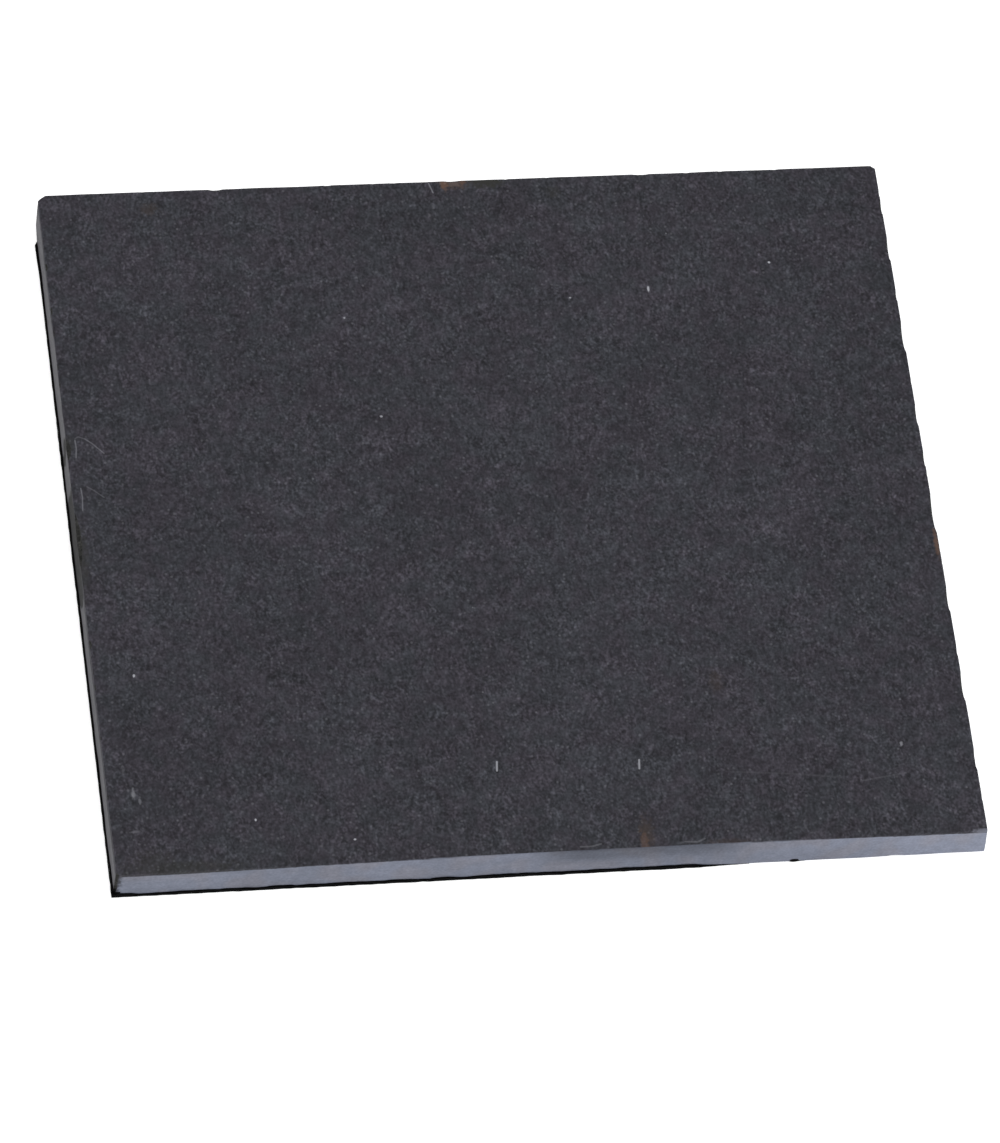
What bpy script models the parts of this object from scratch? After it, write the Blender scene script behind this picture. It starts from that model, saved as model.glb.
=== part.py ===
"""Basalt plate for warm-stone massage: one slab of solid stone with sawn edges.

Frame, in metres: +X along the width, +Y along the depth, away from the sawn front edge, +Z up.
The origin is in the middle of the underside, at the level of the table that the slab lies on.
"""
import bpy
from mathutils import Matrix, Vector

# ---- driving dimensions -------------------------------------------------------------------------
WIDTH = 0.400
DEPTH = 0.360
THICKNESS = 0.020
ARRIS = 0.0007                # the sharp sawn edges are rubbed down by this much
RIGHT_EDGE_LEAN = 0.0018      # the right edge was sawn out of square and leans in towards the top

# The back left corner is knocked off, straight down through the slab.
CORNER_BREAK_X = 0.0040
CORNER_BREAK_Y = 0.0052
CORNER_BREAK_LEAN = 0.0012

# A flake has come off the underside beside that corner.
FLAKE_LENGTH = 0.013
FLAKE_HEIGHT = 0.0060
FLAKE_REACH = 0.0030

# The edges were sawn from above and the last of the stone was snapped, which left a rough lip that
# stands proud at the foot of two of them. The left lip starts short of the back corner and runs to
# the front one. The front lip starts at the left corner and stops short of the right one.
LIP_PROUD = 0.0004
LEFT_LIP_HEIGHT = 0.0034
LEFT_LIP_GAP = 0.0125
FRONT_LIP_HEIGHT = 0.0019
FRONT_LIP_LENGTH = 0.286

# Shell-shaped chips in the arrises: which edge face, the distance along it from its middle,
# the chip's length along the arris and how deep it bites.
UPPER_CHIPS = [
    ("back", -0.004, 0.013, 0.0016),
    ("back", -0.116, 0.009, 0.0007),
    ("back", 0.086, 0.010, 0.0006),
    ("right", 0.132, 0.012, 0.0009),
    ("right", 0.084, 0.018, 0.0010),
    ("right", 0.041, 0.010, 0.0007),
    ("right", -0.012, 0.022, 0.0012),
    ("right", -0.058, 0.012, 0.0008),
    ("right", -0.104, 0.016, 0.0009),
    ("right", -0.142, 0.009, 0.0007),
    ("left", 0.042, 0.012, 0.0012),
    ("left", -0.006, 0.034, 0.0012),
    ("front", 0.128, 0.010, 0.0005),
    ("front", 0.014, 0.014, 0.0005),
]
LOWER_CHIPS = [
    ("front", 0.110, 0.009, 0.0016),
    ("front", 0.158, 0.012, 0.0005),
]

# The back right corner has lost its tip.
TIP_CHIP_LENGTH = 0.007
TIP_CHIP_DEPTH = 0.0016

LIP_ROOT = ARRIS * 3          # how far a lip's solid reaches into the slab
SAWN_LEFT = -WIDTH / 2 + LIP_PROUD
SAWN_FRONT = -DEPTH / 2 + LIP_PROUD

STONE_COLOUR = (0.045, 0.045, 0.053, 1.0)
STONE_ROUGHNESS = 0.82


def clear_scene():
    for old in list(bpy.data.objects):
        bpy.data.objects.remove(old, do_unlink=True)


def new_collection(name):
    collection = bpy.data.collections.new(name)
    bpy.context.scene.collection.children.link(collection)
    return collection


def move_to(obj, collection):
    for owner in list(obj.users_collection):
        owner.objects.unlink(obj)
    collection.objects.link(obj)


def make_stone_material():
    material = bpy.data.materials.new("dark_basalt")
    material.use_nodes = True
    shader = material.node_tree.nodes["Principled BSDF"]
    shader.inputs["Base Color"].default_value = STONE_COLOUR
    shader.inputs["Roughness"].default_value = STONE_ROUGHNESS
    shader.inputs["Metallic"].default_value = 0.0
    return material


def make_slab(collection):
    """The sawn block on its underside, out of square at the right, with its arrises rubbed down."""
    bpy.ops.mesh.primitive_cube_add(size=1.0)
    slab = bpy.context.object
    slab.name = "basalt_slab"
    low = Vector((SAWN_LEFT, SAWN_FRONT, 0.0))
    high = Vector((WIDTH / 2, DEPTH / 2, THICKNESS))
    slab.data.transform(Matrix.Translation((low + high) / 2) @ Matrix.Diagonal(high - low).to_4x4())
    for vertex in slab.data.vertices:
        if vertex.co.x > 0 and vertex.co.z > 0:
            vertex.co.x -= RIGHT_EDGE_LEAN
    bevel = slab.modifiers.new("rubbed_arris", "BEVEL")
    bevel.width = ARRIS
    bevel.segments = 1
    bevel.limit_method = "ANGLE"
    slab.data.materials.append(make_stone_material())
    move_to(slab, collection)
    return slab


def as_tool(obj, name, slab, collection, operation="DIFFERENCE"):
    """Hide a shape that cuts the slab, or that is joined to it with the operation UNION."""
    obj.name = name
    obj.hide_render = True
    obj.display_type = "WIRE"
    move_to(obj, collection)
    step = slab.modifiers.new(name, "BOOLEAN")
    step.operation = operation
    step.solver = "EXACT"
    step.object = obj


def cut_beyond_plane(name, points, size, slab, collection):
    """Cut off what lies beyond the plane through three points, with a cube that has a face there."""
    first, second, third = (Vector(point) for point in points)
    middle = (first + second + third) / 3
    outward = (second - first).cross(third - first).normalized()
    if outward.dot(middle - Vector((0.0, 0.0, THICKNESS / 2))) < 0:
        outward.negate()
    bpy.ops.mesh.primitive_cube_add(size=size, location=middle + outward * (size / 2))
    cutter = bpy.context.object
    cutter.rotation_mode = "QUATERNION"
    cutter.rotation_quaternion = outward.to_track_quat("Z", "Y")
    as_tool(cutter, name, slab, collection)


def add_lip(name, low, high, slab, collection):
    """Join a straight-sided lip to the slab, from its lowest corner to its highest."""
    low, high = Vector(low), Vector(high)
    bpy.ops.mesh.primitive_cube_add(size=1.0)
    lip = bpy.context.object
    lip.data.transform(Matrix.Translation((low + high) / 2) @ Matrix.Diagonal(high - low).to_4x4())
    as_tool(lip, name, slab, collection, "UNION")


def cut_chip(name, point, inward, length, depth, slab, collection):
    """Scoop a shell-shaped chip: a ball that sinks by depth into the arris, length across there."""
    radius = (length * length / 4 + depth * depth) / (2 * depth)
    centre = Vector(point) - Vector(inward).normalized() * (radius - depth)
    bpy.ops.mesh.primitive_uv_sphere_add(radius=radius, segments=96, ring_count=48, location=centre)
    as_tool(bpy.context.object, name, slab, collection)


def arris_point(side, along, height):
    """A point on the top or bottom arris of one edge face, and the way from it into the stone."""
    down = -1.0 if height > 0 else 1.0
    lean = RIGHT_EDGE_LEAN if height > 0 else 0.0
    if side == "back":
        return (along, DEPTH / 2, height), (0.0, -1.0, down)
    if side == "front":
        return (along, SAWN_FRONT, height), (0.0, 1.0, down)
    if side == "right":
        return (WIDTH / 2 - lean, along, height), (-1.0, 0.0, down)
    return (SAWN_LEFT, along, height), (1.0, 0.0, down)


def main():
    clear_scene()
    parts = new_collection("basalt_slab_parts")
    tools = new_collection("cutters")
    slab = make_slab(parts)

    left, right = -WIDTH / 2, WIDTH / 2
    front, back = -DEPTH / 2, DEPTH / 2

    add_lip("left_lip", (left, front, 0.0),
            (SAWN_LEFT + LIP_ROOT, back - LEFT_LIP_GAP, LEFT_LIP_HEIGHT), slab, tools)
    add_lip("front_lip", (left, front, 0.0),
            (left + FRONT_LIP_LENGTH, SAWN_FRONT + LIP_ROOT, FRONT_LIP_HEIGHT), slab, tools)

    chips = [(chip, THICKNESS) for chip in UPPER_CHIPS] + [(chip, 0.0) for chip in LOWER_CHIPS]
    for number, ((side, along, length, depth), height) in enumerate(chips):
        point, inward = arris_point(side, along, height)
        cut_chip("chip_%02d" % number, point, inward, length, depth + ARRIS / 2, slab, tools)

    cut_chip("tip_chip", (right - RIGHT_EDGE_LEAN, back, THICKNESS), (-1.0, -1.0, -1.0),
             TIP_CHIP_LENGTH, TIP_CHIP_DEPTH + ARRIS, slab, tools)

    cut_beyond_plane(
        "corner_break",
        [(SAWN_LEFT + CORNER_BREAK_X, back, THICKNESS),
         (SAWN_LEFT, back - CORNER_BREAK_Y, THICKNESS),
         (SAWN_LEFT, back - CORNER_BREAK_Y - CORNER_BREAK_LEAN, 0.0)],
        THICKNESS * 2, slab, tools)
    cut_beyond_plane(
        "corner_flake",
        [(SAWN_LEFT, back - FLAKE_LENGTH, 0.0),
         (SAWN_LEFT, back, FLAKE_HEIGHT),
         (SAWN_LEFT + FLAKE_REACH, back, 0.0)],
        FLAKE_LENGTH * 2, slab, tools)


if __name__ == "__main__":
    main()
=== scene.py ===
import math
import random

import bmesh
import bpy
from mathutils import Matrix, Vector


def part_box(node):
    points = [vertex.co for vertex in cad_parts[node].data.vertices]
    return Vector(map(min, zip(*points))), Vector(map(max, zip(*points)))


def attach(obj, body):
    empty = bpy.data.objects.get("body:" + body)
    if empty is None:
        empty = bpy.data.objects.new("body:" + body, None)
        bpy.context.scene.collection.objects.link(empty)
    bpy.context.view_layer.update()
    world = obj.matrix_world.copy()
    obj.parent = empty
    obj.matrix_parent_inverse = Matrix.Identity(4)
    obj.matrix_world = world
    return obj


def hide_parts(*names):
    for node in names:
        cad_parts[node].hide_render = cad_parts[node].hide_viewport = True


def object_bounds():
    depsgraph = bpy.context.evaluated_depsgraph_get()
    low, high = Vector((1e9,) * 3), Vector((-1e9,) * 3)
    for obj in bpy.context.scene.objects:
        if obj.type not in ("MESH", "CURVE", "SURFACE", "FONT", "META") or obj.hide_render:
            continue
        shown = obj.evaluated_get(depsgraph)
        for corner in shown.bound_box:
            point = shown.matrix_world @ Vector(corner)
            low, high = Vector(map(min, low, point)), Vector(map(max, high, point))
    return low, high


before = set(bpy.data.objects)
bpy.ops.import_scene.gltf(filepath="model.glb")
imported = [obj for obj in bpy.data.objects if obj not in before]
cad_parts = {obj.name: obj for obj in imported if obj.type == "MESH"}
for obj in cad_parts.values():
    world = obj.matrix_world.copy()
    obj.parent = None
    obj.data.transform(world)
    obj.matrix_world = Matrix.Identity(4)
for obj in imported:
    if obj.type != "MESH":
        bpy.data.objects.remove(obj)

cad_low, cad_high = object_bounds()

# ---- Camera ---------------------------------------------------------------------------------
# A long lens looks down on the slab from its front left, and is held a little out of level.
CAMERA_AIM = Vector((-0.0077, -0.0326, cad_high.z))
CAMERA_AZIMUTH = math.radians(-18.79)
CAMERA_ELEVATION = math.radians(58.73)
CAMERA_ROLL = math.radians(13.59)
CAMERA_DISTANCE = 4.15
CAMERA_LENS = 286.3

camera = bpy.data.objects.new("camera", bpy.data.cameras.new("camera"))
bpy.context.scene.collection.objects.link(camera)
bpy.context.scene.camera = camera
towards_camera = Vector((
    math.sin(CAMERA_AZIMUTH) * math.cos(CAMERA_ELEVATION),
    -math.cos(CAMERA_AZIMUTH) * math.cos(CAMERA_ELEVATION),
    math.sin(CAMERA_ELEVATION),
))
camera.location = CAMERA_AIM + towards_camera * CAMERA_DISTANCE
camera.rotation_euler = towards_camera.to_track_quat("Z", "Y").to_euler()
camera.rotation_euler.rotate_axis("Z", CAMERA_ROLL)
camera.data.lens = CAMERA_LENS
camera.data.sensor_width = 36.0
camera.data.clip_end = 50.0
bpy.context.scene.view_settings.view_transform = "Standard"

# ---- Basalt slab: the sawn block ------------------------------------------------------------
# One plate of solid basalt, sawn out of a bigger block. Its right and back edges were sawn a
# little out of square, its arrises are rubbed down, and its dark upper face is worked flat.
low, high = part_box("basalt_slab")
HAIR = 0.00001                # nothing on the slab is this small
LIP_PROUD = 0.0007            # the sawn faces stand this far behind the lips at the foot
RIGHT_EDGE_LEAN = 0.0018      # how far the right edge leans in towards the top
BACK_EDGE_SKEW = 0.0012       # how much shorter the slab is at its right end
ARRIS = 0.00045               # the sharp sawn edges are rubbed down by this much
MARGIN = 0.009                # the band beside the arrises that is divided finely
FINE_STEP = 0.00075
COARSE_STEP = 0.0017
EDGE_STEPS = 22               # how many steps the edge faces are divided into from foot to top
BEVEL_FROM = math.radians(60)
SMOOTH_UP_TO = math.radians(35)
FACE_FADE = 0.002             # the worked face is flat at its arrises, and full this far in
EDGE_FADE = 0.004             # the wander of the sawn edges dies out this far in

# Each roughening has the size of its lumps, how finely they are broken up, and its strength.
BLADE_WANDER = (0.022, 1, 0.0006)
FACE_ROLL = (0.045, 1, 0.0004)
FACE_TOOTH = (0.0042, 2, 0.00016)
sawn_low = Vector((low.x + LIP_PROUD, low.y + LIP_PROUD, low.z))


def select_only(thing):
    bpy.ops.object.select_all(action="DESELECT")
    thing.select_set(True)
    bpy.context.view_layer.objects.active = thing


def block(name, corner, opposite):
    """A straight-sided block from its lowest corner to its highest."""
    bpy.ops.object.select_all(action="DESELECT")
    bpy.ops.mesh.primitive_cube_add(size=1.0, location=(corner + opposite) / 2)
    made = bpy.context.object
    made.name = name
    made.scale = opposite - corner
    bpy.ops.object.transform_apply(location=True, rotation=True, scale=True)
    return made


def slice_across(thing, axis, place):
    """Cut every face that crosses a plane at one place along an axis."""
    point, normal = Vector((0.0, 0.0, 0.0)), Vector((0.0, 0.0, 0.0))
    point[axis] = place
    normal[axis] = 1.0
    bpy.ops.object.mode_set(mode="EDIT")
    bpy.ops.mesh.select_all(action="SELECT")
    bpy.ops.mesh.bisect(plane_co=point, plane_no=normal)
    bpy.ops.object.mode_set(mode="OBJECT")


def divide(thing, axis, start, end, pieces):
    """Divide each edge that runs along an axis between two places into equal pieces."""
    bpy.ops.object.mode_set(mode="EDIT")
    bpy.ops.mesh.select_mode(type="EDGE")
    bpy.ops.mesh.select_all(action="DESELECT")
    edit = bmesh.from_edit_mesh(thing.data)
    for edge in edit.edges:
        first, second = sorted(vertex.co[axis] for vertex in edge.verts)
        if second - first > HAIR and first > start - HAIR and second < end + HAIR:
            edge.select_set(True)
    bmesh.update_edit_mesh(thing.data)
    bpy.ops.mesh.subdivide(number_cuts=pieces - 1)
    bpy.ops.object.mode_set(mode="OBJECT")


def apply_modifiers(thing):
    select_only(thing)
    for modifier in list(thing.modifiers):
        bpy.ops.object.modifier_apply(modifier=modifier.name)


def roughen(thing, lump, depth, strength, group="", direction="NORMAL"):
    """Push a surface in and out, by half the strength each way, in lumps of about one size."""
    texture = bpy.data.textures.new(thing.name + "_lumps", "CLOUDS")
    texture.noise_scale = lump
    texture.noise_depth = depth
    texture.noise_basis = "ORIGINAL_PERLIN"
    push = thing.modifiers.new(texture.name, "DISPLACE")
    push.texture = texture
    push.texture_coords = "LOCAL"
    push.strength = strength
    push.mid_level = 0.5
    push.direction = direction
    push.vertex_group = group


def back_skew(x):
    """How far the back edge has come forward at a place along it."""
    return BACK_EDGE_SKEW * (x - sawn_low.x) / (high.x - sawn_low.x)


slab = block("slab", sawn_low, high)
for axis in (0, 1):
    slice_across(slab, axis, sawn_low[axis] + MARGIN)
    slice_across(slab, axis, high[axis] - MARGIN)
for axis in (0, 1):
    start, end = sawn_low[axis], high[axis]
    middle_pieces = round((end - start - 2 * MARGIN) / COARSE_STEP)
    divide(slab, axis, start, start + MARGIN, round(MARGIN / FINE_STEP))
    divide(slab, axis, end - MARGIN, end, round(MARGIN / FINE_STEP))
    divide(slab, axis, start + MARGIN, end - MARGIN, middle_pieces)
divide(slab, 2, low.z, high.z, EDGE_STEPS)

# The underside was sawn flat, so its middle stays one face.
bpy.ops.object.mode_set(mode="EDIT")
bpy.ops.mesh.select_mode(type="FACE")
bpy.ops.mesh.select_all(action="DESELECT")
edit = bmesh.from_edit_mesh(slab.data)
for face in edit.faces:
    middle = face.calc_center_median()
    if middle.z < low.z + HAIR and all(
            sawn_low[axis] + MARGIN < middle[axis] < high[axis] - MARGIN for axis in (0, 1)):
        face.select_set(True)
bmesh.update_edit_mesh(slab.data)
bpy.ops.mesh.dissolve_faces()
bpy.ops.object.mode_set(mode="OBJECT")

# The right edge leans in towards the top and the back edge runs askew, each with its margin.
for vertex in slab.data.vertices:
    nearness = max(0.0, 1.0 - (high.x - vertex.co.x) / MARGIN)
    vertex.co.x -= RIGHT_EDGE_LEAN * nearness * vertex.co.z / high.z
    nearness = max(0.0, 1.0 - (high.y - vertex.co.y) / MARGIN)
    vertex.co.y -= back_skew(vertex.co.x) * nearness

rubbed = slab.modifiers.new("rubbed_arrises", "BEVEL")
rubbed.width = ARRIS
rubbed.segments = 2
rubbed.limit_method = "ANGLE"
rubbed.angle_limit = BEVEL_FROM
apply_modifiers(slab)

# The worked face rolls a little and has a fine tooth. The sawn edges wander where the blade did.
worked_face = slab.vertex_groups.new(name="worked_face")
sawn_edges = slab.vertex_groups.new(name="sawn_edges")
for vertex in slab.data.vertices:
    x, y, z = vertex.co
    from_side = min(x - sawn_low.x, high.x - x, y - sawn_low.y, high.y - y)
    if z > high.z - HAIR:
        worked_face.add([vertex.index], min(1.0, from_side / FACE_FADE), "REPLACE")
    if z > low.z + HAIR:
        sawn_edges.add([vertex.index], max(0.0, 1.0 - from_side / EDGE_FADE), "REPLACE")
roughen(slab, *BLADE_WANDER, "sawn_edges")
roughen(slab, *FACE_ROLL, "worked_face", "Z")
roughen(slab, *FACE_TOOTH, "worked_face", "Z")
apply_modifiers(slab)

# ---- Basalt slab: the dark lips at the foot, painted shade ----------------------------------
# A rough lip runs along the foot of the left edge and of most of the front one. It is coloured
# near black as painted shade, standing in for the shadow under the slab's foot.
LIP_ROOT = 0.003              # how far a lip's solid reaches into the slab
LEFT_LIP_HEIGHT = 0.0031
LEFT_LIP_FLARE = 0.0007       # how much prouder the left lip is where it starts
FLARE_LENGTH = 0.020
LEFT_LIP_GAP = 0.0125         # from the back corner to where the left lip starts
FRONT_LIP_HEIGHT = 0.0021
FRONT_LIP_LENGTH = 0.291      # from the left corner to where the front lip stops
FRONT_LIP_TAPER = 0.026       # over which it thins out
LEAST_LIP = 0.03              # the share of its height that is left where it stops
CORNER_LIP_LENGTH = 0.025     # both lips are higher over this length by the corner they share
CORNER_LIP_EXTRA = 0.25       # by this share of their height
LIP_STEP = 0.0008
LIP_DEPTH_STEPS = 3
LIP_HEIGHT_STEPS = 5
CREST_WAVE = 0.016            # the crest rises and falls over this length
CREST_JAG = 0.004             # with finer jags on it, by this share of the height
CREST_JAG_SHARE = 0.35
LIP_FACE = (0.0035, 2, 0.0007)
STUB_START = 0.1065           # a stub of the lip is left further along the front
STUB_LENGTH = 0.016
STUB_HEIGHT = 0.0022
STUB_RISE = 0.0045
STUB_TAPER = 0.012
STUB_PROUD = 0.3              # as a share of how proud the lips are
STUB_WAVES = 0.2

stone = bpy.data.materials.new("worked_basalt")
broken_and_shade = bpy.data.materials.new("broken_basalt_and_shade")
slab.data.materials.append(stone)


def finish_tool(tool):
    tool.data.materials.append(broken_and_shade)
    apply_modifiers(tool)


def lip(name, corner, opposite, long_axis, taper, flare=0.0, waves=1.5, rise=0.0):
    """A rough lip with a wandering crest, which thins out or flares at its far end. A stub
    thins out where it starts too."""
    made = block(name, corner, opposite)
    across = 1 - long_axis
    length = opposite[long_axis] - corner[long_axis]
    divide(made, long_axis, corner[long_axis], opposite[long_axis], round(length / LIP_STEP))
    divide(made, across, corner[across], opposite[across], LIP_DEPTH_STEPS)
    divide(made, 2, corner.z, opposite.z, LIP_HEIGHT_STEPS)
    crest = made.vertex_groups.new(name="crest")
    face = made.vertex_groups.new(name="face")
    for vertex in made.data.vertices:
        to_corner = (vertex.co[long_axis] - corner[long_axis]) / CORNER_LIP_LENGTH
        to_end = (opposite[long_axis] - vertex.co[long_axis]) / taper
        to_start = (vertex.co[long_axis] - corner[long_axis]) / rise if rise else 1.0
        thinned = min(1.0, max(LEAST_LIP, min(to_start, to_end)))
        crest.add([vertex.index], vertex.co.z / opposite.z * thinned, "REPLACE")
        outward = 1.0 - (vertex.co[across] - corner[across]) / LIP_ROOT
        face.add([vertex.index], max(0.0, outward * thinned), "REPLACE")
        flared = max(0.0, 1.0 - (opposite[long_axis] - vertex.co[long_axis]) / FLARE_LENGTH)
        vertex.co[across] += (LIP_PROUD * (1.0 - thinned) - flare * flared) * outward
        vertex.co.z *= thinned * (1.0 + CORNER_LIP_EXTRA * max(0.0, 1.0 - to_corner))
    roughen(made, CREST_WAVE, 2, opposite.z * waves, "crest", "Z")
    roughen(made, CREST_JAG, 1, opposite.z * CREST_JAG_SHARE, "crest", "Z")
    roughen(made, *LIP_FACE, "face", "XY"[across])
    finish_tool(made)
    return made


# The lips are near black: painted shade under the slab's foot.
left_lip = lip(
    "left_lip", low.copy(),
    Vector((sawn_low.x + LIP_ROOT, high.y - LEFT_LIP_GAP, LEFT_LIP_HEIGHT)), 1, HAIR,
    LEFT_LIP_FLARE)
front_lip = lip(
    "front_lip", low.copy(),
    Vector((low.x + FRONT_LIP_LENGTH, sawn_low.y + LIP_ROOT, FRONT_LIP_HEIGHT)), 0,
    FRONT_LIP_TAPER)
shade_lip_stub = lip(
    "shade_lip_stub", Vector((STUB_START, sawn_low.y - LIP_PROUD * STUB_PROUD, low.z)),
    Vector((STUB_START + STUB_LENGTH, sawn_low.y + LIP_ROOT, STUB_HEIGHT)), 0, STUB_TAPER,
    waves=STUB_WAVES, rise=STUB_RISE)


def combine(tool, operation):
    """Cut a tool out of the slab, or join it on, and carry its material over to the new faces."""
    step = slab.modifiers.new(tool.name, "BOOLEAN")
    step.operation = operation
    step.solver = "EXACT"
    step.material_mode = "TRANSFER"
    step.object = tool
    apply_modifiers(slab)
    bpy.data.objects.remove(tool, do_unlink=True)


combine(left_lip, "UNION")
combine(front_lip, "UNION")
combine(shade_lip_stub, "UNION")

# ---- Basalt slab: the breaks ----------------------------------------------------------------
# Knocks have taken shell-shaped chips out of the arrises, one corner right off, and a flake out
# of the underside next to it. Fresh breaks are dark, and rougher than anything the saw left.
CORNER_BREAK_X = 0.0040
CORNER_BREAK_Y = 0.0030
CORNER_BREAK_LEAN = 0.0030    # how much more of the corner is gone at its foot
FLAKE_LENGTH = 0.013
FLAKE_HEIGHT = 0.0060
FLAKE_REACH = 0.0030
TIP_CHIP_LENGTH = 0.009       # the chip at the back right corner
TIP_CHIP_DEPTH = 0.0021
BRUISE_X = 0.0010             # how far the bruise on the front left arris reaches each way
BRUISE_Y = 0.0010
BRUISE_BLOCK = 0.018
BRUISE_GAP = 0.0006
BREAK_STEPS = 30
CORNER_BLOCK = 0.045
FLAKE_BLOCK = 0.026
BREAK_LUMP = 0.003
CORNER_ROUGHNESS = 0.0012
FLAKE_ROUGHNESS = 0.0006
BRUISE_LUMP = 0.004
BRUISE_ROUGHNESS = 0.0007
CHIP_FACE = (0.003, 2, 0.0006)
FINE_BALL_FROM = 0.008        # a chip longer than this is cut with a finer ball
ARRIS_SHARE = 0.3             # a ball sinks this share of the arris deeper than its chip
BALL_GAP = 0.001              # the least space between balls that cut together
NICK_CLEARANCE = 0.018        # nicks stay this far from the chips
NICK_SHORTEST = 0.002
NICK_LONGEST = 0.006
RIGHT_NICK_STRETCH = 1.6      # nicks are longer on the right edge
NICKS = (("back", 0.17, 20), ("right", 0.17, 30), ("left", 0.16, 20))  # edge, reach each way, number
CHIPS = [
    # edge, place along it, height of the arris, length, depth
    ("back", -0.004, high.z, 0.011, 0.0005),
    ("back", -0.116, high.z, 0.009, 0.0007),
    ("back", 0.086, high.z, 0.010, 0.0006),
    ("right", 0.132, high.z, 0.014, 0.0009),
    ("right", 0.084, high.z, 0.018, 0.0011),
    ("right", 0.041, high.z, 0.013, 0.0009),
    ("right", -0.012, high.z, 0.022, 0.0013),
    ("right", -0.058, high.z, 0.014, 0.0010),
    ("right", -0.104, high.z, 0.016, 0.0011),
    ("right", -0.142, high.z, 0.012, 0.0008),
    ("left", 0.042, high.z, 0.012, 0.0012),
    ("left", -0.006, high.z, 0.034, 0.0012),
    ("front", 0.128, high.z, 0.008, 0.0002),
    ("front", 0.014, high.z, 0.007, 0.00002),
    # This chip at the foot of the front edge is near black in the broken stone's colour: painted
    # shade.
    ("front", 0.158, low.z, 0.012, 0.0005),
]
random.seed(7)
for edge, half, count in NICKS:
    taken = [chip[1] for chip in CHIPS if chip[0] == edge]
    for tick in range(count):
        place = -half + 2 * half * (tick + random.uniform(0.1, 0.9)) / count
        stretch = RIGHT_NICK_STRETCH if edge == "right" else 1.0
        length = random.uniform(NICK_SHORTEST, NICK_LONGEST) * stretch
        if min(abs(place - other) for other in taken) > NICK_CLEARANCE:
            CHIPS.append((edge, place, high.z, length, length * random.uniform(0.06, 0.10)))


def arris_place(edge, along, height):
    """A point on an arris of one edge face, and the way from it into the stone."""
    down = -1.0 if height > low.z else 1.0
    if edge == "back":
        return Vector((along, high.y - back_skew(along), height)), Vector((0.0, -1.0, down))
    if edge == "front":
        return Vector((along, sawn_low.y, height)), Vector((0.0, 1.0, down))
    if edge == "right":
        lean = RIGHT_EDGE_LEAN * height / high.z
        return Vector((high.x - lean, along, height)), Vector((-1.0, 0.0, 0.3 * down))
    return Vector((sawn_low.x, along, height)), Vector((1.0, 0.0, down))


def knock(point, inward, length, depth):
    """A ball that takes out a chip of about one length and depth at a point on an arris."""
    sunk = depth + ARRIS * ARRIS_SHARE
    radius = (length * length / 4 + sunk * sunk) / (2 * sunk)
    bpy.ops.object.select_all(action="DESELECT")
    bpy.ops.mesh.primitive_ico_sphere_add(
        radius=radius, subdivisions=5 if length > FINE_BALL_FROM else 3,
        location=point - inward.normalized() * (radius - sunk))
    return bpy.context.object


balls = [knock(*arris_place(edge, along, height), length, depth)
         for edge, along, height, length, depth in CHIPS]
balls.append(knock(Vector((high.x - RIGHT_EDGE_LEAN, high.y, high.z)), Vector((-1.0, -1.0, -1.0)),
                   TIP_CHIP_LENGTH, TIP_CHIP_DEPTH))


def clear_of(ball, others):
    """Whether a ball stays clear of all the others."""
    return all((ball.location - other.location).length
               > (ball.dimensions.x + other.dimensions.x) / 2 + BALL_GAP for other in others)


# Balls that cross each other can't cut together, so they cut in turns.
turns = []
for ball in balls:
    turn = next((turn for turn in turns if clear_of(ball, turn)), None)
    if turn is None:
        turns.append([ball])
    else:
        turn.append(ball)
for turn in turns:
    bpy.ops.object.select_all(action="DESELECT")
    for ball in turn:
        ball.select_set(True)
    bpy.context.view_layer.objects.active = turn[0]
    if len(turn) > 1:
        bpy.ops.object.join()
    chips = bpy.context.view_layer.objects.active
    chips.name = "chips"
    bpy.ops.object.transform_apply(location=True, rotation=True, scale=True)
    roughen(chips, *CHIP_FACE)
    finish_tool(chips)
    combine(chips, "DIFFERENCE")


def break_off(name, first, second, third, size, lump, strength):
    """Cut off what lies beyond the plane through three points, leaving a rough face there."""
    middle = (first + second + third) / 3
    outward = (second - first).cross(third - first).normalized()
    if outward.dot(middle) < 0:
        outward.negate()
    half = Vector((size, size, size)) / 2
    tool = block(name, -half, half)
    for axis in (0, 1):
        divide(tool, axis, -size / 2, size / 2, BREAK_STEPS)
    tool.rotation_mode = "QUATERNION"
    tool.rotation_quaternion = outward.to_track_quat("Z", "Y")
    tool.location = middle + outward * (size / 2)
    select_only(tool)
    bpy.ops.object.transform_apply(location=True, rotation=True, scale=True)
    roughen(tool, lump, 2, strength)
    finish_tool(tool)
    combine(tool, "DIFFERENCE")


break_off("back_left_corner",
          Vector((sawn_low.x + CORNER_BREAK_X, high.y, high.z)),
          Vector((sawn_low.x, high.y - CORNER_BREAK_Y, high.z)),
          Vector((sawn_low.x, high.y - CORNER_BREAK_Y - CORNER_BREAK_LEAN, low.z)),
          CORNER_BLOCK, BREAK_LUMP, CORNER_ROUGHNESS)
break_off("flake_below_it",
          Vector((sawn_low.x, high.y - FLAKE_LENGTH, low.z)),
          Vector((sawn_low.x, high.y, FLAKE_HEIGHT)),
          Vector((sawn_low.x + FLAKE_REACH, high.y, low.z)),
          FLAKE_BLOCK, BREAK_LUMP, FLAKE_ROUGHNESS)
bruise_foot = FRONT_LIP_HEIGHT + BRUISE_GAP
bruise_top = bruise_foot + BRUISE_BLOCK
break_off("bruised_front_left_arris",
          Vector((sawn_low.x + BRUISE_X, sawn_low.y, bruise_foot)),
          Vector((sawn_low.x, sawn_low.y + BRUISE_Y, (bruise_foot + bruise_top) / 2)),
          Vector((sawn_low.x + BRUISE_X, sawn_low.y, bruise_top)),
          BRUISE_BLOCK, BRUISE_LUMP, BRUISE_ROUGHNESS)

select_only(slab)
bpy.ops.object.shade_smooth_by_angle(angle=SMOOTH_UP_TO)

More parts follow.
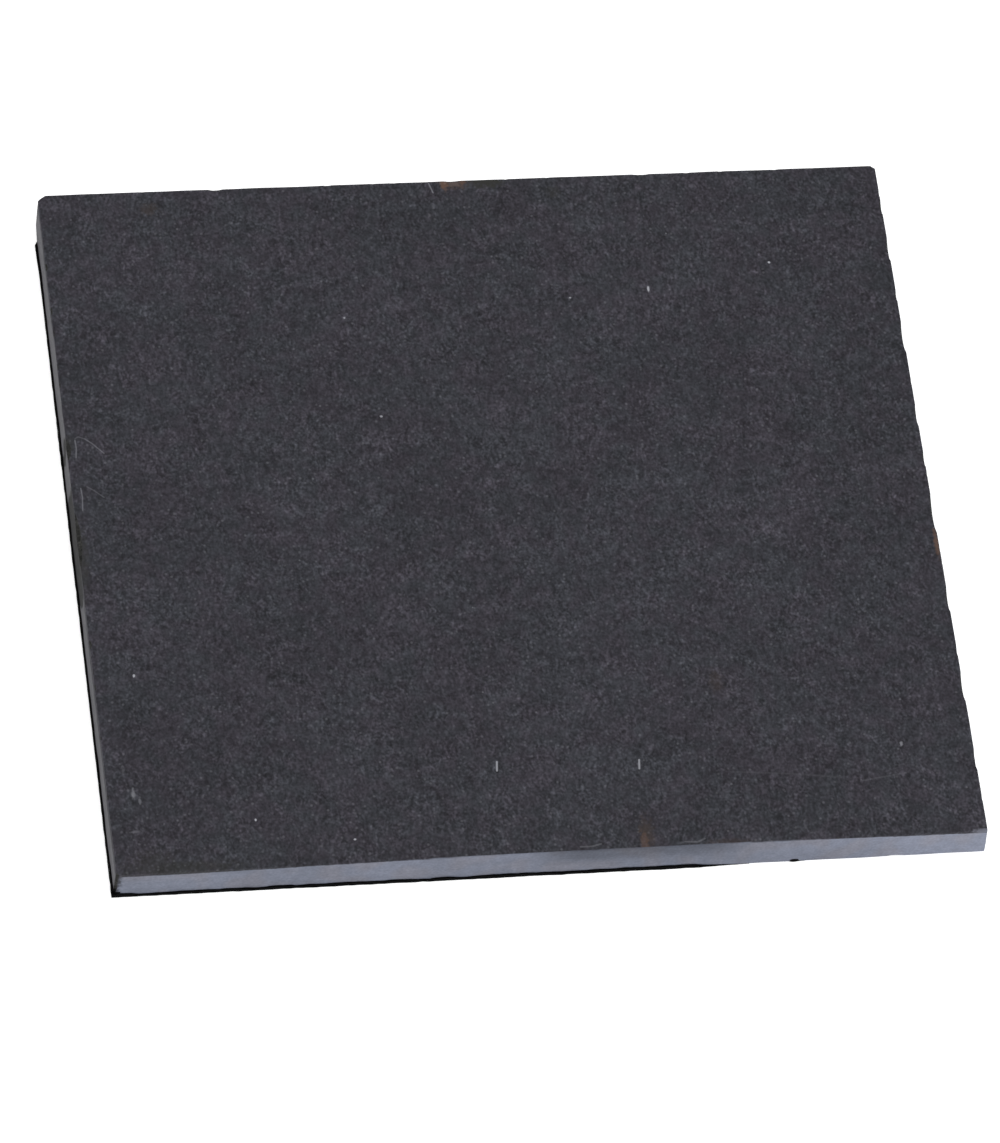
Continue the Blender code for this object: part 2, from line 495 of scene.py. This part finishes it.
# Every face is laid flat on the bake map by the way it looks. The worked face takes most of the
# square, the edge faces are strips beside and above it, and the underside is a small tile.
MAP_SCALE = 0.82 / (high.x - low.x)
MAP_GAP = 0.008
UNDERSIDE_SCALE = 0.17 * MAP_SCALE
across = (high.x - low.x) * MAP_SCALE + 2 * MAP_GAP
above = (high.y - low.y) * MAP_SCALE + 2 * MAP_GAP
strip = (high.z - low.z) * MAP_SCALE + MAP_GAP


def map_place(co, normal):
    east, north, up = (co - low) * MAP_SCALE
    if normal.z > 0.6:
        return MAP_GAP + east, MAP_GAP + north
    if normal.z < -0.6:
        return (MAP_GAP + (co.x - low.x) * UNDERSIDE_SCALE,
                above + 2 * strip + (high.y - co.y) * UNDERSIDE_SCALE)
    if abs(normal.y) > abs(normal.x):
        return MAP_GAP + east, above + up + (strip if normal.y > 0 else 0.0)
    return across + up + (strip if normal.x > 0 else 0.0), MAP_GAP + north


bake_map = slab.data.uv_layers.new(name="OFBake")
for face in slab.data.polygons:
    for corner in face.loop_indices:
        vertex = slab.data.vertices[slab.data.loops[corner].vertex_index]
        bake_map.data[corner].uv = map_place(vertex.co, face.normal)

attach(slab, "root")
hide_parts("basalt_slab")

# ---- Basalt slab: the look of the stone ---------------------------------------------------------
# The worked face is near black, with a fine felted grain and a few pale crystals. The saw left the
# edges pale and smooth with stone dust, and broken stone shows the rock's own dark colour. The lips
# at the foot are painted near black as shade.
MM = 0.001                    # patterns are placed and sized in millimetres
PURPLE_BLACK = (0.0321, 0.0297, 0.0371, 1.0)
TEAL_BLACK = (0.0297, 0.0309, 0.0369, 1.0)
PALE_CRYSTAL = (0.360, 0.365, 0.400, 1.0)
SAWN_BLUE = (0.141, 0.153, 0.194, 1.0)
SAWN_MAUVE = (0.148, 0.152, 0.184, 1.0)
SAWN_LEFT_SHADED = (0.088, 0.087, 0.095, 1.0)
DARK_MARKS_AND_SHADE = (0.0130, 0.0130, 0.0134, 1.0)
DARK_STRETCHES = ((45.0, 4.2), (-5.5, 28.5))  # on the left edge: middle and half length
DULL_MIDDLE = 38.0            # the middle of the dull stretch on the front edge
SKIN_HIGHEST = 20.0           # where the line of the dark skin is highest on the front edge


def put(tree, kind, inputs=None, **settings):
    """Add a node, set its properties, and link or set its inputs."""
    made = tree.nodes.new("ShaderNode" + kind)
    for name, value in settings.items():
        setattr(made, name, value)
    for socket, value in (inputs or {}).items():
        if isinstance(value, bpy.types.NodeSocket):
            tree.links.new(value, made.inputs[socket])
        else:
            made.inputs[socket].default_value = value
    return made


def maths(tree, operation, *values, clamp=False):
    made = put(tree, "Math", dict(enumerate(values)), operation=operation, use_clamp=clamp)
    return made.outputs[0]


def vectors(tree, operation, *values):
    made = put(tree, "VectorMath", dict(enumerate(values)), operation=operation)
    gives_number = operation in ("LENGTH", "DISTANCE", "DOT_PRODUCT")
    return made.outputs["Value" if gives_number else "Vector"]


def scaled(tree, vector, factor):
    return put(tree, "VectorMath", {0: vector, "Scale": factor}, operation="SCALE").outputs[0]


def ramp(tree, value, start, end, low_value=0.0, high_value=1.0, shape="SMOOTHSTEP"):
    """Go from one value to another as the input goes from start to end."""
    made = put(tree, "MapRange", {0: value, 1: start, 2: end, 3: low_value, 4: high_value},
               interpolation_type=shape)
    return made.outputs[0]


def blend(tree, mask, first, second):
    return put(tree, "Mix", {0: mask, 6: first, 7: second}, data_type="RGBA").outputs[2]


def shade_by(tree, colour, amount):
    """Brighten or darken a colour by e to the amount."""
    return scaled(tree, colour, maths(tree, "EXPONENT", amount))


def add_up(tree, *parts):
    """The sum of several values, each with its weight."""
    total = 0.0
    for value, weight in parts:
        total = maths(tree, "MULTIPLY_ADD", value, weight, total)
    return total


def strongest(tree, parts):
    """The greatest of several masks, each with its strength."""
    total = 0.0
    for mask, strength in parts:
        total = maths(tree, "MAXIMUM", maths(tree, "MULTIPLY", mask, strength), total)
    return total


def new_group(name, inputs, output):
    """A shader node group with named sockets and one number as its output."""
    group = bpy.data.node_groups.new(name, "ShaderNodeTree")
    for label, kind in inputs.items():
        group.interface.new_socket(label, in_out="INPUT", socket_type="NodeSocket" + kind)
    group.interface.new_socket(output, in_out="OUTPUT", socket_type="NodeSocketFloat")
    return group, group.nodes.new("NodeGroupInput").outputs, group.nodes.new("NodeGroupOutput").inputs


def use(tree, group, **inputs):
    made = tree.nodes.new("ShaderNodeGroup")
    made.node_tree = group
    for name, value in inputs.items():
        if isinstance(value, bpy.types.NodeSocket):
            tree.links.new(value, made.inputs[name])
        else:
            made.inputs[name].default_value = value
    return made.outputs[0]


# Grain is a noise of one grain size, curled a little, from about -1 to 1.
grain, given, result = new_group(
    "grain", {"Position": "Vector", "Size": "Float", "Curl": "Float"}, "Value")
noise = put(grain, "TexNoise", {
    "Vector": given["Position"], "Distortion": given["Curl"], "Detail": 0.0,
    "Scale": maths(grain, "DIVIDE", 1.0, given["Size"])})
grain.links.new(maths(grain, "MULTIPLY_ADD", noise.outputs[0], 4.0, -2.0), result["Value"])

# A stain is a soft oval round a centre, with a ragged outline.
stain, given, result = new_group(
    "stain", {"Position": "Vector", "Centre": "Vector", "Reach": "Vector", "Ragged": "Float"},
    "Mask")
offset = vectors(stain, "SUBTRACT", given["Position"], given["Centre"])
how_far = maths(stain, "ADD", given["Ragged"], vectors(
    stain, "LENGTH", vectors(stain, "DIVIDE", offset, given["Reach"])))
stain.links.new(ramp(stain, how_far, 1.15, 0.35), result["Mask"])

# A scratch is a thin straight line from one point to another.
scratch, given, result = new_group(
    "scratch", {"Position": "Vector", "Start": "Vector", "End": "Vector", "Width": "Float"}, "Mask")
offset = vectors(scratch, "SUBTRACT", given["Position"], given["Start"])
run = vectors(scratch, "SUBTRACT", given["End"], given["Start"])
share = maths(scratch, "DIVIDE", vectors(scratch, "DOT_PRODUCT", offset, run),
              vectors(scratch, "DOT_PRODUCT", run, run), clamp=True)
away = vectors(scratch, "DISTANCE", offset, scaled(scratch, run, share))
scratch.links.new(ramp(scratch, maths(scratch, "DIVIDE", away, given["Width"]), 0.9, 0.3),
                  result["Mask"])


def start_stone(material, specular):
    """Start a stone's nodes: its shader, and its position in millimetres."""
    material.use_nodes = True
    tree = material.node_tree
    shader = tree.nodes["Principled BSDF"]
    shader.inputs["Specular IOR Level"].default_value = specular
    position = scaled(tree, put(tree, "TexCoord").outputs["Object"], 1 / MM)
    return tree, shader, position


def grains(size, curl):
    return use(tree, grain, Position=position, Size=size, Curl=curl)


def stains(places):
    """Ovals from centre x, y, z, reach x, y, z and strength."""
    return strongest(tree, [
        (use(tree, stain, Position=position, Centre=place[0:3], Reach=place[3:6], Ragged=ragged),
         place[6])
        for place in places])


def scratches(lines):
    """Scratches on the worked face, each a chain of points with a width and a strength."""
    return strongest(tree, [
        (use(tree, scratch, Position=position, Start=(*start, TOP), End=(*end, TOP), Width=width),
         strength)
        for points, width, strength in lines for start, end in zip(points, points[1:])])


tree, shader, position = start_stone(stone, specular=0.12)
ragged = put(tree, "TexNoise", {"Vector": position, "Scale": 0.5, "Detail": 2.0}).outputs[0]
ragged = maths(tree, "MULTIPLY_ADD", ragged, 1.6, -0.8)
x, y, z = put(tree, "SeparateXYZ", {0: position}).outputs
TOP = high.z / MM
LEFT = sawn_low.x / MM
RIGHT = high.x / MM
FRONT = sawn_low.y / MM
BACK = high.y / MM

# The worked face: a fine grain, drawn out a little from front to back, over soft clouds. The
# grain comes and goes, so that some patches are smoother.
swirl = put(tree, "TexNoise", {"Vector": position, "Scale": 1 / 7.0, "Detail": 0.0}).outputs["Color"]
felted = vectors(tree, "ADD", position, scaled(tree, swirl, 3.0))
felted = vectors(tree, "MULTIPLY", felted, (1.0, 0.6, 1.0))
tooth = grains(1.15, 0.0)
fine = add_up(tree, (tooth, 0.28),
              (use(tree, grain, Position=felted, Size=1.3, Curl=0.6), 0.32),
              (use(tree, grain, Position=felted, Size=2.6, Curl=0.0), 0.13))
fine = maths(tree, "MULTIPLY", fine, ramp(tree, grains(11.0, 0.0), -0.5, 0.6, 0.78, 1.15))
dark_patches = stains([
    (-113, 102, TOP, 7, 6, 9, 1.0), (-130, 114, TOP, 6, 5, 9, 0.7), (137, 36, TOP, 9, 6, 9, 1.0),
    (-80, -65, TOP, 7, 6, 9, 0.8), (-106, 32, TOP, 6, 5, 9, 0.7)])
dark_streaks = scratches([
    ([(159, 156), (191, 155)], 2.0, 0.7), ([(18, 174), (47, 171.5)], 2.5, 0.8)])
tone = add_up(tree, (fine, 1.0), (grains(5.0, 0.5), 0.10), (grains(12.0, 0.0), 0.08),
              (grains(38.0, 0.0), 0.06), (dark_patches, -0.22), (dark_streaks, -0.22))
hue = add_up(tree, (grains(6.0, 0.0), 0.60), (grains(25.0, 0.0), 0.55))
worked = blend(tree, ramp(tree, hue, -0.9, 0.9), PURPLE_BLACK, TEAL_BLACK)
worked = shade_by(tree, worked, tone)

# Rusty and olive stains lie along the arrises of the worked face.
RUST = (0.105, 0.062, 0.044, 1.0)
BROWN = (0.046, 0.034, 0.028, 1.0)
DULL_PINK = (0.100, 0.078, 0.074, 1.0)
OLIVE = (0.026, 0.026, 0.023, 1.0)
for colour, places in (
        (OLIVE, [(-170, FRONT + 2, TOP, 32, 4, 5, 0.45), (-182, FRONT + 5, TOP, 12, 8, 5, 0.35),
                 (LEFT + 1, -14, TOP, 3.5, 24, 5, 0.5), (LEFT + 1, 45, TOP, 3, 6, 5, 0.35),
                 (12, BACK - 2, TOP, 10, 4, 5, 0.9), (43, BACK - 9, TOP, 4, 4, 5, 0.4)]),
        (BROWN, [(-4, BACK - 2, TOP, 8, 3.5, 5, 0.8), (42, FRONT + 7, TOP, 4, 10, 5, 0.5),
                 (79, FRONT + 1, TOP, 12, 2, 5, 0.3), (84, -95, TOP, 4, 7, 5, 0.3),
                 (-148, 170, TOP, 5, 4, 5, 0.35)]),
        (DULL_PINK, [(-3.5, BACK - 2, TOP, 3.2, 2.5, 5, 0.6)]),
        (RUST, [(-8, BACK - 1.5, TOP, 2.2, 5.0, 5, 0.9), (0.8, BACK - 1.5, TOP, 1.6, 4.0, 5, 0.6),
                (40.5, FRONT + 3, TOP, 2.2, 7, 5, 0.35), (RIGHT - 3, -28, TOP, 1.4, 9, 5, 0.7)])):
    worked = blend(tree, stains(places), worked, colour)

# Pale crystals: most are faint specks, and a few are bright.


def specks(spacing, radius, share):
    """Round specks in a share of the cells that divide the stone."""
    cells = put(tree, "TexVoronoi", {"Vector": position, "Scale": 1 / spacing})
    lot = put(tree, "SeparateColor", {0: cells.outputs["Color"]}).outputs[0]
    near = ramp(tree, cells.outputs["Distance"], radius / spacing, radius / spacing * 0.3)
    return maths(tree, "MULTIPLY", near, ramp(tree, lot, 1 - share, 1.0, shape="LINEAR"))


crystals = strongest(tree, [
    (specks(2.4, 0.9, 0.5), 0.11), (specks(8.0, 0.8, 0.4), 0.16), (specks(19.0, 0.65, 0.4), 0.40),
    (stains([
        (-187.5, -138.5, TOP, 1.1, 3.4, 3, 0.28), (-185, -142.5, TOP, 0.7, 1.8, 3, 0.16),
        (-191, -126, TOP, 1.0, 2.6, 3, 0.07), (-189, -158, TOP, 3.0, 0.8, 3, 0.10),
        (165, -132.5, TOP, 1.0, 1.4, 3, 0.35), (81, 115.5, TOP, 0.6, 1.7, 3, 0.8),
        (140, 127.5, TOP, 0.7, 0.6, 3, 0.9), (-63.5, 106.5, TOP, 0.6, 0.8, 3, 0.6),
        (43.5, 112.5, TOP, 0.7, 0.6, 3, 0.6), (-52.5, 52.5, TOP, 0.8, 0.6, 3, 0.6),
        (-181, -78, TOP, 0.6, 1.0, 3, 0.8), (-134, -155, TOP, 0.6, 0.8, 3, 0.9),
        (-90.5, -167.5, TOP, 0.7, 0.6, 3, 0.8)]), 1.0),
    (scratches([
        ([(-21.5, -131.5), (-22, -136)], 0.7, 0.60), ([(43.5, -134), (43, -138.5)], 0.7, 0.55),
        ([(84.5, -142.5), (107.5, -144.5), (134.5, -148)], 0.8, 0.035),
        ([(143.5, -150.5), (165, -147.5)], 0.7, 0.05),
        ([(-15.3, 178.5), (-13.8, 173)], 0.5, 0.26),
        ([(-195, 47.8), (-193.5, 48.6), (-190.5, 47.3)], 0.5, 0.10),
        ([(-190.5, 47.3), (-187.5, 44.7), (-182.6, 39.3)], 0.5, 0.16),
        ([(-195.2, 46.9), (-195, 42.6), (-195.6, 37.5)], 0.5, 0.20),
        ([(-192.2, 21.9), (-189.2, 19.8), (-184.9, 15.9)], 0.5, 0.10),
        ([(-195.1, 21.2), (-194.8, 16.5), (-195.4, 9.5)], 0.5, 0.20),
        ([(11, -177), (16.5, -177), (20.5, -176)], 0.7, 0.12),
        ([(59, -177), (64.5, -177.5), (68, -176)], 0.7, 0.12)]), 1.0)])
worked = blend(tree, crystals, worked, PALE_CRYSTAL)

# The sawn edges: cloudy, faintly banded along the blade's path, and paler towards the right. The
# front one is dull near its middle, and the left one is painted darker and greyer as shade, being
# turned away from the light, with dark stretches.
blade = put(tree, "TexNoise", {
    "Vector": vectors(tree, "MULTIPLY", position, (0.02, 0.02, 0.8)), "Scale": 1.0, "Detail": 1.0})
from_dull = maths(tree, "ABSOLUTE", maths(tree, "SUBTRACT", x, DULL_MIDDLE))
dulled = maths(tree, "MULTIPLY", ramp(tree, from_dull, 55.0, 28.0), ramp(tree, z, TOP - 16, TOP - 1))
on_front = ramp(tree, y, FRONT + 1.0, FRONT + 0.4)
dulled = maths(tree, "MULTIPLY", dulled, on_front)
sawn_tone = add_up(
    tree, (grains(1.3, 0.0), 0.08), (grains(4.0, 0.0), 0.06), (grains(22.0, 0.0), 0.05),
    (maths(tree, "SUBTRACT", blade.outputs[0], 0.5), 0.15),
    (ramp(tree, x, 100.0, 195.0), 0.28), (dulled, -0.62))
sawn = blend(tree, ramp(tree, grains(12.0, 0.0), -0.4, 0.8), SAWN_BLUE, SAWN_MAUVE)
# The left edge takes a darker colour: painted shade.
sawn = blend(tree, ramp(tree, x, LEFT + 1.4, LEFT + 0.8), sawn, SAWN_LEFT_SHADED)
sawn = shade_by(tree, sawn, sawn_tone)
# Darkened at the front left corner, partly a bruise and partly painted shade on the rounded corner,
# with painted shade at its foot. Also darkened below the back left corner of the worked face, and in
# stretches along the left edge.
dark_marks_and_shade = stains([(LEFT, FRONT, 10, 3.2, 2.6, 40, 0.8), (LEFT, FRONT, 1, 4, 4, 3, 0.9),
                (LEFT, BACK, TOP - 2, 3, 7, 13, 1.0)])
wander = add_up(tree, (grains(3.0, 0.0), 1.2), (grains(9.0, 0.0), 3.0))
for middle, half in DARK_STRETCHES:
    along = maths(tree, "ABSOLUTE", maths(tree, "SUBTRACT", y, middle))
    along = maths(tree, "ADD", along, wander)
    along = maths(tree, "ADD", along, ramp(tree, x, LEFT + 1.0, LEFT + 1.6, 0.0, 99.0))
    dark_marks_and_shade = maths(tree, "MAXIMUM", dark_marks_and_shade, ramp(tree, along, half + 2.0, half - 1.5, 0.0, 0.95))
sawn = blend(tree, dark_marks_and_shade, sawn, DARK_MARKS_AND_SHADE)

# The dark skin of the worked face wraps over the arris and ends in a wavering line.
# Along the front it climbs over the arris in the middle, and hangs lower towards both ends. On the
# left it hangs lower near the back corner, and lower still along the front half.
from_high = maths(tree, "ABSOLUTE", maths(tree, "SUBTRACT", x, SKIN_HIGHEST))
hang = ramp(tree, from_high, 40.0, 215.0, -2.2, 0.6)
on_left = ramp(tree, x, LEFT + 1.4, LEFT + 0.8)
hang_left = add_up(tree, (ramp(tree, y, -20.0, -45.0), 3.0), (ramp(tree, y, 95.0, 115.0), 2.0))
skin_line = add_up(tree, (grains(3.0, 0.0), 0.15), (grains(30.0, 0.0), 0.15), (z, 1.0),
                   (maths(tree, "MULTIPLY", hang, on_front), 1.0),
                   (maths(tree, "MULTIPLY", hang_left, on_left), 1.0), (0.8, 1.0))
skin = ramp(tree, skin_line, TOP - 1.5, TOP - 0.7)
pale_corner = stains([(RIGHT - 3, FRONT, TOP, 7, 1.6, 3, 0.5)])
skin = maths(tree, "SUBTRACT", skin, pale_corner, clamp=True)
tree.links.new(blend(tree, skin, sawn, worked), shader.inputs["Base Color"])
tree.links.new(ramp(tree, fine, -0.9, 0.9, 0.72, 0.90, "LINEAR"), shader.inputs["Roughness"])
relief = put(tree, "Bump", {"Strength": 0.6, "Distance": 0.03 * MM, "Height": tooth})
tree.links.new(relief.outputs[0], shader.inputs["Normal"])

# Broken stone: near black in the lips by the foot, which is painted shade, and a little greyer in the
# chips above them, the rock's own dark colour.
tree, shader, position = start_stone(broken_and_shade, specular=0.03)
z = put(tree, "SeparateXYZ", {0: position}).outputs["Z"]
facets = add_up(tree, (grains(0.9, 0.0), 0.35), (grains(2.5, 0.0), 0.30))
# Below 5 mm, where the lips lie, the colour is near black: painted shade.
broken_and_shade_colour = blend(tree, ramp(tree, z, 5.0, 8.0), (0.0018, 0.0018, 0.0020, 1.0),
                      (0.026, 0.026, 0.025, 1.0))
tree.links.new(shade_by(tree, broken_and_shade_colour, facets), shader.inputs["Base Color"])
shader.inputs["Roughness"].default_value = 0.9
relief = put(tree, "Bump", {"Strength": 0.8, "Distance": 0.2 * MM, "Height": facets})
tree.links.new(relief.outputs[0], shader.inputs["Normal"])

# ---- Floor and light --------------------------------------------------------------------------
# A plain white table under a soft, even light, with a little more of it from the right. The table
# glows a little, as a light table does.
FLOOR_SIZE = 12.0
FLOOR_WHITE = (0.92, 0.92, 0.92, 1.0)
FLOOR_GLOW = 0.45
WHITE = (1.0, 1.0, 1.0, 1.0)
STUDIO_STRENGTH = 1.06
LAMP_SIZE = 2.4
LAMP_POWER = 16.0
LAMP_PLACE = Vector((1.3, -1.5, 2.2))

bpy.ops.object.select_all(action="DESELECT")
bpy.ops.mesh.primitive_plane_add(size=FLOOR_SIZE, location=(0.0, 0.0, cad_low.z))
floor = bpy.context.object
floor.name = "floor"
floor_paint = bpy.data.materials.new("floor_paint")
floor_paint.use_nodes = True
floor_shader = floor_paint.node_tree.nodes["Principled BSDF"]
floor_shader.inputs["Base Color"].default_value = FLOOR_WHITE
floor_shader.inputs["Roughness"].default_value = 0.9
floor_shader.inputs["Specular IOR Level"].default_value = 0.1
floor_shader.inputs["Emission Color"].default_value = WHITE
floor_shader.inputs["Emission Strength"].default_value = FLOOR_GLOW
floor_paint.cycles.emission_sampling = "NONE"
floor.data.materials.append(floor_paint)

world = bpy.data.worlds.new("studio")
world.use_nodes = True
world.node_tree.nodes["Background"].inputs["Color"].default_value = WHITE
world.node_tree.nodes["Background"].inputs["Strength"].default_value = STUDIO_STRENGTH
bpy.context.scene.world = world

lamp = bpy.data.objects.new("softbox", bpy.data.lights.new("softbox", "AREA"))
bpy.context.scene.collection.objects.link(lamp)
lamp.data.shape = "DISK"
lamp.data.size = LAMP_SIZE
lamp.data.energy = LAMP_POWER
lamp.location = LAMP_PLACE
lamp.rotation_euler = LAMP_PLACE.to_track_quat("Z", "Y").to_euler()
